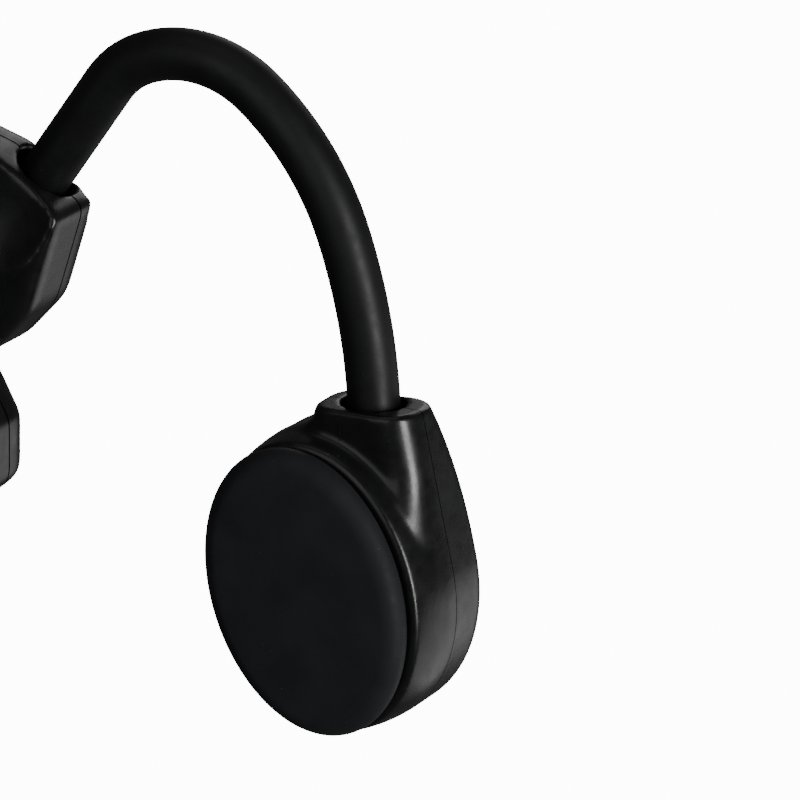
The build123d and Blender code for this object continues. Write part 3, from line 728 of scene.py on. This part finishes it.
FINISH = {
    "shell_plastic": finish_of("black_satin_shell_plastic", (0.0055, 0.0056, 0.0062), 0.30, spread=0.05, grain=0.16,
                               bump=0.22, depth=0.012, dust=0.35, wear=0.22),
    "pad_silicone": finish_of("matt_pad_silicone", (0.0155, 0.0163, 0.0186), 0.62, specular=0.2, spread=0.06,
                              grain=0.12, bump=0.3, depth=0.014, dust=0.55, sheen=0.02),
    "tube_silicone": finish_of("soft_touch_tube_silicone", (0.0058, 0.0059, 0.0064), 0.50, specular=0.36,
                               spread=0.05, grain=0.2, bump=0.22, depth=0.012, dust=0.3),
    "inner_plastic": finish_of("grey_glass_filled_plastic", (0.03, 0.031, 0.033), 0.5, grain=0.3, depth=0.02),
    "button_plastic": finish_of("black_satin_button_plastic", (0.0095, 0.0096, 0.0102), 0.30, spread=0.05,
                                grain=0.1, bump=0.18, depth=0.008, dust=0.3, wear=0.6),
    "switch_plastic": finish_of("cream_switch_plastic", (0.42, 0.39, 0.33), 0.45, grain=0.2),
    "spring_steel": finish_of("brushed_spring_steel", (0.56, 0.57, 0.58), 0.32, 1.0, scratches=0.8, depth=0.004),
    "titanium_wire": finish_of("drawn_titanium_wire", (0.42, 0.40, 0.38), 0.36, 1.0, scratches=0.9, depth=0.004),
    "screw_steel": finish_of("blackened_screw_steel", (0.09, 0.09, 0.095), 0.34, 1.0, wear=0.9, grain=0.08,
                             depth=0.005),
    "copper_winding": finish_of("enamelled_copper_winding", (0.55, 0.22, 0.10), 0.28, 1.0, scratches=1.0,
                                depth=0.02),
    "iron": finish_of("nickel_plated_iron", (0.38, 0.38, 0.38), 0.38, 1.0, grain=0.2, depth=0.006),
    "magnet_nickel": finish_of("bright_magnet_nickel", (0.62, 0.60, 0.56), 0.24, 1.0, grain=0.15, depth=0.004),
    "foam": finish_of("open_cell_foam", (0.035, 0.035, 0.037), 0.9, specular=0.2, grain=0.35, bump=0.9, depth=0.12),
    "microphone_can": finish_of("microphone_can_tin", (0.52, 0.50, 0.46), 0.3, 1.0, grain=0.12, depth=0.004),
    "ferrule_brass": finish_of("turned_ferrule_brass", (0.62, 0.44, 0.18), 0.3, 1.0, scratches=0.7, depth=0.006),
    "lead_insulation": finish_of("red_lead_insulation", (0.30, 0.03, 0.025), 0.45, grain=0.2),
    "battery_foil": finish_of("crinkled_battery_foil", (0.55, 0.56, 0.58), 0.35, 1.0, grain=1.1, bump=0.5,
                              depth=0.05),
    "board": finish_of("solder_masked_board", (0.012, 0.06, 0.03), 0.35, grain=0.5, tint=(0.02, 0.09, 0.045),
                       depth=0.01),
    "port_steel": finish_of("plated_port_steel", (0.50, 0.50, 0.51), 0.3, 1.0, grain=0.1, depth=0.004),
    "light_lens": finish_of("milky_light_lens", (0.5, 0.52, 0.55), 0.35, transmission=0.35, grain=0.2),
}


def dress(obj, slot_name):
    obj.data.materials.clear()
    obj.data.materials.append(FINISH[slot_name])
    return obj


def fit(obj, body, slot_name, *nodes):
    """A finished piece in its place: smooth, in its finish, riding, and standing for its CAD nodes."""
    smooth(obj)
    dress(obj, slot_name)
    if body:
        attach(obj, body)
    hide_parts(*nodes)
    return obj


clear_selection()
for side in ("left", "right"):
    matrix = LEFT if side == "left" else MIRROR @ LEFT
    inner, outer = make_pod(side)
    fit(settle(inner, matrix), side + "_pod", "shell_plastic", side + "_pod_inner_shell")
    fit(settle(outer, matrix), side + "_pod", "shell_plastic", side + "_pod_outer_shell")
    pad = fit(settle(ear_pad(side + "_silicone_pad"), matrix), side + "_pod", "pad_silicone", side + "_ear_pad")
    inner, outer = make_housing(side)
    fit(settle(inner, matrix), side + "_side", "shell_plastic", side + "_housing_inner_shell")
    fit(settle(outer, matrix), side + "_side", "shell_plastic", side + "_housing_outer_shell")

    sleeve = hook_tube(side + "_hook_tube", 0, 0, TUBE, 48, TUBE - TUBE_BORE)
    wire = hook_tube(side + "_hook_memory_wire", WIRE_ASIDE, 0, WIRE, 16, extra=WIRE_EXTRA)
    leads = hook_tube(side + "_hook_lead_pair", -LEAD_ASIDE, LEAD_APART, LEAD, 12, extra=LEAD_EXTRA)
    join_pieces(leads, hook_tube("second_lead", -LEAD_ASIDE, -LEAD_APART, LEAD, 12, extra=LEAD_EXTRA))
    for piece, slot_name, node in ((sleeve, "tube_silicone", "hook_sleeve"), (wire, "titanium_wire", "hook_wire"),
                                   (leads, "lead_insulation", "hook_leads")):
        fit(settle(piece, matrix), None, slot_name, side + "_" + node)
        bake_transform(piece)

    flip = Matrix.Identity(4) if side == "left" else MIRROR
    band = band_tube(side + "_neckband_tube", 0, 0, BAND, 44, BAND - BAND_BORE)
    band_wire = band_tube(side + "_neckband_memory_wire", 0, WIRE_ASIDE, WIRE, 14, extra=WIRE_EXTRA)
    band_leads = band_tube(side + "_neckband_lead_pair", LEAD_APART, -LEAD_ASIDE, LEAD, 10, extra=LEAD_EXTRA)
    join_pieces(band_leads, band_tube("second_band_lead", -LEAD_APART, -LEAD_ASIDE, LEAD, 10, extra=LEAD_EXTRA))
    for piece, slot_name, node in ((band, "tube_silicone", "neckband_sleeve"),
                                   (band_wire, "titanium_wire", "neckband_wire"),
                                   (band_leads, "lead_insulation", "neckband_leads")):
        fit(settle(piece, flip), None, slot_name, node)
        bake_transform(piece)

KEPT = {
    "drive_plate": "inner_plastic", "transducer_frame": "inner_plastic", "flexure_plate": "spring_steel",
    "transducer_screws": "screw_steel", "voice_coil": "copper_winding", "pole_piece": "iron",
    "magnet": "magnet_nickel", "yoke": "iron", "yoke_damper": "foam", "microphone": "microphone_can",
    "neck_ferrule": "ferrule_brass", "housing_screws": "screw_steel", "collar_ferrule": "ferrule_brass",
    "band_ferrule": "ferrule_brass",
}
LONE = {
    "battery": "battery_foil", "call_switch": "switch_plastic", "call_button": "button_plastic",
    "circuit_board": "board", "radio_module": "port_steel", "volume_switches": "switch_plastic",
    "status_light": "light_lens", "charging_port": "port_steel", "port_board": "board",
    "port_cover": "tube_silicone", "volume_up_button": "button_plastic", "volume_down_button": "button_plastic",
}
for node, slot_name in KEPT.items():
    for side in ("left_", "right_"):
        dress(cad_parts[side + node], slot_name)
for node, slot_name in LONE.items():
    dress(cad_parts[node], slot_name)

# ---------------------------------------------------------------- floor, light and camera
low, high = CAD_BOX
bpy.ops.mesh.primitive_plane_add(size=6, location=(0, 0, low[2] - 0.0002))
floor = newest("studio_floor")
bpy.ops.object.transform_apply(location=True)
paper = bpy.data.materials.new("white_studio_paper")
paper.use_nodes = True
paper_shader = paper.node_tree.nodes["Principled BSDF"]
paper_shader.inputs["Base Color"].default_value = (0.9, 0.9, 0.9, 1)
paper_shader.inputs["Roughness"].default_value = 0.9
paper_shader.inputs["Emission Color"].default_value = (1, 1, 1, 1)
paper_shader.inputs["Emission Strength"].default_value = 13.0
floor.data.materials.append(paper)
floor.visible_glossy = False
floor.visible_diffuse = False
floor.visible_shadow = False

world = bpy.data.worlds.new("studio_air")
bpy.context.scene.world = world
world.use_nodes = True
world.node_tree.nodes["Background"].inputs["Color"].default_value = (0.06, 0.06, 0.062, 1)


def softbox(name, direction, distance, width, height, power, target):
    """A soft panel lamp that faces the object from a direction."""
    lamp = bpy.data.lights.new(name, "AREA")
    lamp.shape, lamp.size, lamp.size_y, lamp.energy = "RECTANGLE", width, height, power
    panel = bpy.data.objects.new(name, lamp)
    bpy.context.scene.collection.objects.link(panel)
    way = Vector(direction).normalized()
    panel.location = Vector(target) + way * distance
    panel.rotation_euler = way.to_track_quat("Z", "Y").to_euler()
    return panel


POD = LEFT.translation
softbox("edge_panel", (-0.42, -0.92, 0.06), 0.6, 0.14, 0.30, 2.6, POD)
softbox("side_panel", (0.60, -0.68, -0.50), 0.7, 0.65, 0.45, 0.95, POD)
softbox("far_panel", (0.90, 0.02, 0.44), 0.8, 0.5, 0.35, 0.65, POD)
softbox("overhead_panel", (-0.1, 0.1, 1.0), 0.8, 0.6, 0.6, 0.4, POD)
softbox("fill_panel", (-0.85, 0.1, 0.35), 0.9, 0.7, 0.7, 1.4, POD)

CAMERA_DISTANCE, AIM_RIGHT, AIM_UP = 0.6, 0.00697, 0.0158      # metres, from the left pad's seat
azimuth, elevation = math.radians(-68.6), math.radians(18.0)
right = Vector((math.cos(azimuth), math.sin(azimuth), 0))
up = Vector((-math.sin(azimuth) * math.sin(elevation), math.cos(azimuth) * math.sin(elevation),
             math.cos(elevation)))
back = right.cross(up)
lens = bpy.data.cameras.new("studio_camera")
lens.lens, lens.sensor_width = 321.3, 36.0
lens.clip_start, lens.clip_end = 0.01, 20.0
camera = bpy.data.objects.new("studio_camera", lens)
bpy.context.scene.collection.objects.link(camera)
camera.location = POD + right * AIM_RIGHT + up * AIM_UP + back * CAMERA_DISTANCE
camera.rotation_euler = Matrix((right, up, back)).transposed().to_euler()
bpy.context.scene.camera = camera

bpy.context.view_layer.update()
